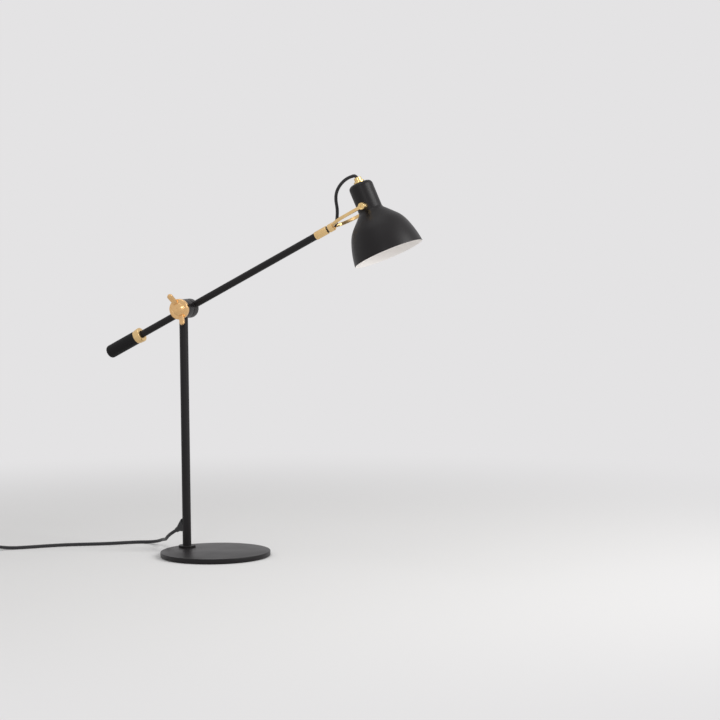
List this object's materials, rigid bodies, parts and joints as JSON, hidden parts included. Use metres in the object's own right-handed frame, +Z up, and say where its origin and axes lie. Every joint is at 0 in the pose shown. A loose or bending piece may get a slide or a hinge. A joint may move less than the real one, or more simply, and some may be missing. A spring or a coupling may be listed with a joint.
{
  "type": "desk lamp",
  "caption": "Balance desk lamp with a round base, upright pole, counterweighted arm on a wing-knob hub and a small metal shade in a swivelling fork.",
  "frame": {"origin": "centre of the underside of the round base", "axes": "+Z up along the pole, +X level from the hub towards the shade as it stands in the picture, +Y along the hub axis away from the wing knob"},
  "size_m": [0.9397, 0.2157, 0.5854],
  "materials": {
    "satin_black": "satin powder coat",
    "matt_black": "matt paint",
    "brass": "satin lacquered",
    "plated_steel": "zinc plated",
    "felt": "felt",
    "black_plastic": "moulded",
    "black_nylon": "nylon",
    "fibre": "vulcanised fibre",
    "cord_fabric": "braided textile",
    "cable_sheath": "smooth sheath",
    "holder_plastic": "thermoset",
    "nickel": "nickel plated",
    "opal_glass": "opal"
  },
  "bodies": {
    "stand": {"base_disc": "satin_black", "base_pad": "felt", "base_washer": "plated_steel", "base_bolt": "plated_steel", "foot_plug": "plated_steel", "foot_collar": "satin_black", "pole_tube": "satin_black", "strain_relief": "black_plastic", "pole_spigot": "plated_steel", "pole_cable": "cable_sheath", "cord_to_switch": "cord_fabric", "switch_base": "black_plastic", "switch_cover": "black_plastic", "cord_to_coil": "cord_fabric", "cord_coil": "cord_fabric", "cord_tie": "black_nylon", "cord_to_plug": "cord_fabric", "plug_body": "black_plastic", "plug_pins": "nickel"},
    "hub": {"pole_block": "satin_black", "hub_set_screw": "plated_steel"},
    "arm": {"friction_washer": "fibre", "arm_block": "satin_black", "arm_set_screws": "plated_steel", "pivot_stud": "plated_steel", "spring_washer": "plated_steel", "arm_tube": "satin_black", "arm_cable": "cable_sheath", "weight_rod": "satin_black", "weight_collar": "brass", "counterweight": "matt_black", "ferrule": "brass", "swivel_washer": "black_nylon"},
    "knob": {"wing_knob": "brass"},
    "fork": {"fork": "brass", "swivel_nut": "brass", "head_lead": "cord_fabric"},
    "head": {"shade": "satin_black", "spacer_bushes": "brass", "bush_nuts": "brass", "pivot_washers": "black_nylon", "pivot_screws": "brass", "gland_nut": "brass", "cable_gland": "brass", "holder_nipple": "plated_steel", "holder_lock_nut": "plated_steel", "lampholder_cap": "holder_plastic", "lampholder_body": "holder_plastic", "holder_shell": "nickel", "holder_contact": "nickel", "bulb_cap": "nickel", "bulb_glass": "opal_glass"},
    "rocker": {"switch_rocker": "black_plastic"}
  },
  "joints": [
    {"name": "hub_turn", "type": "hinge", "parent": "stand", "child": "hub", "pos_m": [-0.0592, 0.02155, 0.3698], "axis": [0, 0, 1], "range_deg": [-175, 135]},
    {"name": "arm_tilt", "type": "hinge", "parent": "hub", "child": "arm", "pos_m": [-0.0592, 0.02155, 0.381], "axis": [0, -1, 0], "range_deg": [-67, 43]},
    {"name": "knob_turn", "type": "hinge", "parent": "arm", "child": "knob", "pos_m": [-0.0592, 0.02155, 0.381], "axis": [0, -1, 0], "range_deg": [0, 180]},
    {"name": "fork_swivel", "type": "hinge", "parent": "arm", "child": "fork", "pos_m": [0.17858, 0.03765, 0.50268], "axis": [0.8902, 0, 0.4555], "range_deg": [-90, 90]},
    {"name": "head_tilt", "type": "hinge", "parent": "fork", "child": "head", "pos_m": [0.24543, 0.03765, 0.53689], "axis": [0, -1, 0], "range_deg": [-33, 60], "deforming": ["head_lead"]},
    {"name": "switch_rock", "type": "hinge", "parent": "stand", "child": "rocker", "pos_m": [-0.4047, -0.07633, 0.0126], "axis": [0.3907, -0.9205, 0], "range_deg": [-14, 0]}
  ]
}
